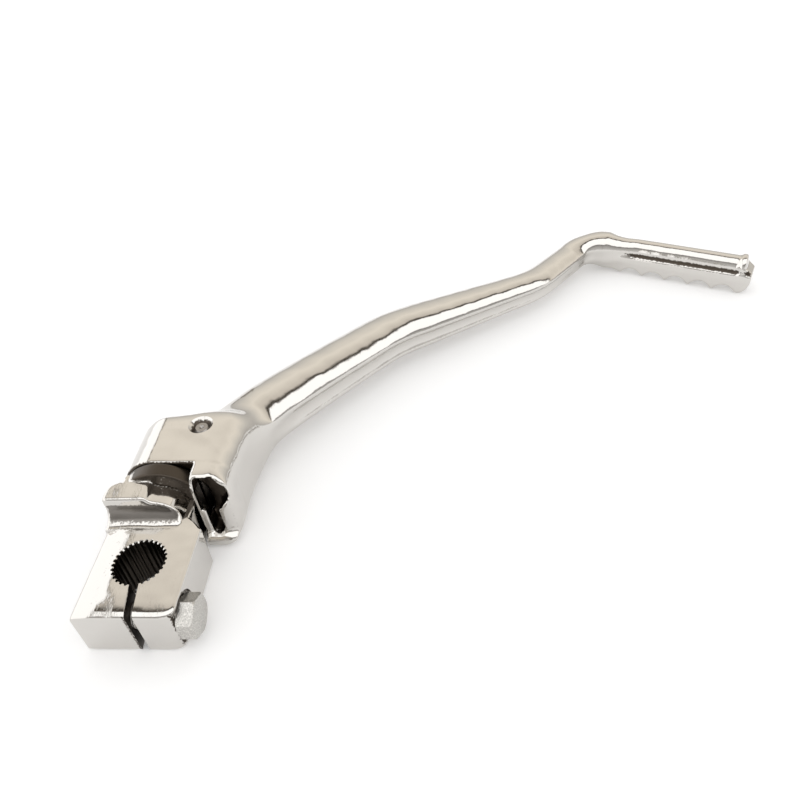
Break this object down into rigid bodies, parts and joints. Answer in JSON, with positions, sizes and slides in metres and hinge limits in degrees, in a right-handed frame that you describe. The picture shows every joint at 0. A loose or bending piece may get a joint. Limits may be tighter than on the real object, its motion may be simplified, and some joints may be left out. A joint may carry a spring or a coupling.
{
  "type": "kick start lever",
  "caption": "Folding kick start lever: splined pinch-bolt clamp with a stop lug and pivot post, and a bent arm ending in a scalloped foot pedal.",
  "frame": {"origin": "axis of the splined bore at the clamp's inner face, which lies on the floor", "axes": "+Z along the bore axis away from the engine, +Y along the pivot axis away from the bore, +X towards the side that the arm leaves on"},
  "size_m": [0.2369, 0.2056, 0.0298],
  "materials": {
    "knuckle_chrome": "bright chrome plate over a ground forging",
    "arm_chrome": "bright chrome plate over a ground forging",
    "bolt_zinc": "dull zinc plate",
    "pin_steel": "ground steel",
    "ball_steel": "polished hard steel",
    "spring_steel": "drawn spring wire",
    "seal_rubber": "plain black rubber"
  },
  "bodies": {
    "clamp_side": {"knuckle": "knuckle_chrome", "pinch_bolt": "bolt_zinc", "detent_ball": "ball_steel", "detent_spring": "spring_steel", "dust_seal": "seal_rubber"},
    "arm_side": {"lever_arm": "arm_chrome", "retaining_pin": "pin_steel"}
  },
  "joints": [
    {"name": "arm_fold", "type": "hinge", "parent": "clamp_side", "child": "arm_side", "pos_m": [0, 0.03, 0.0154], "axis": [0, -1, 0], "range_deg": [0, 90]}
  ]
}
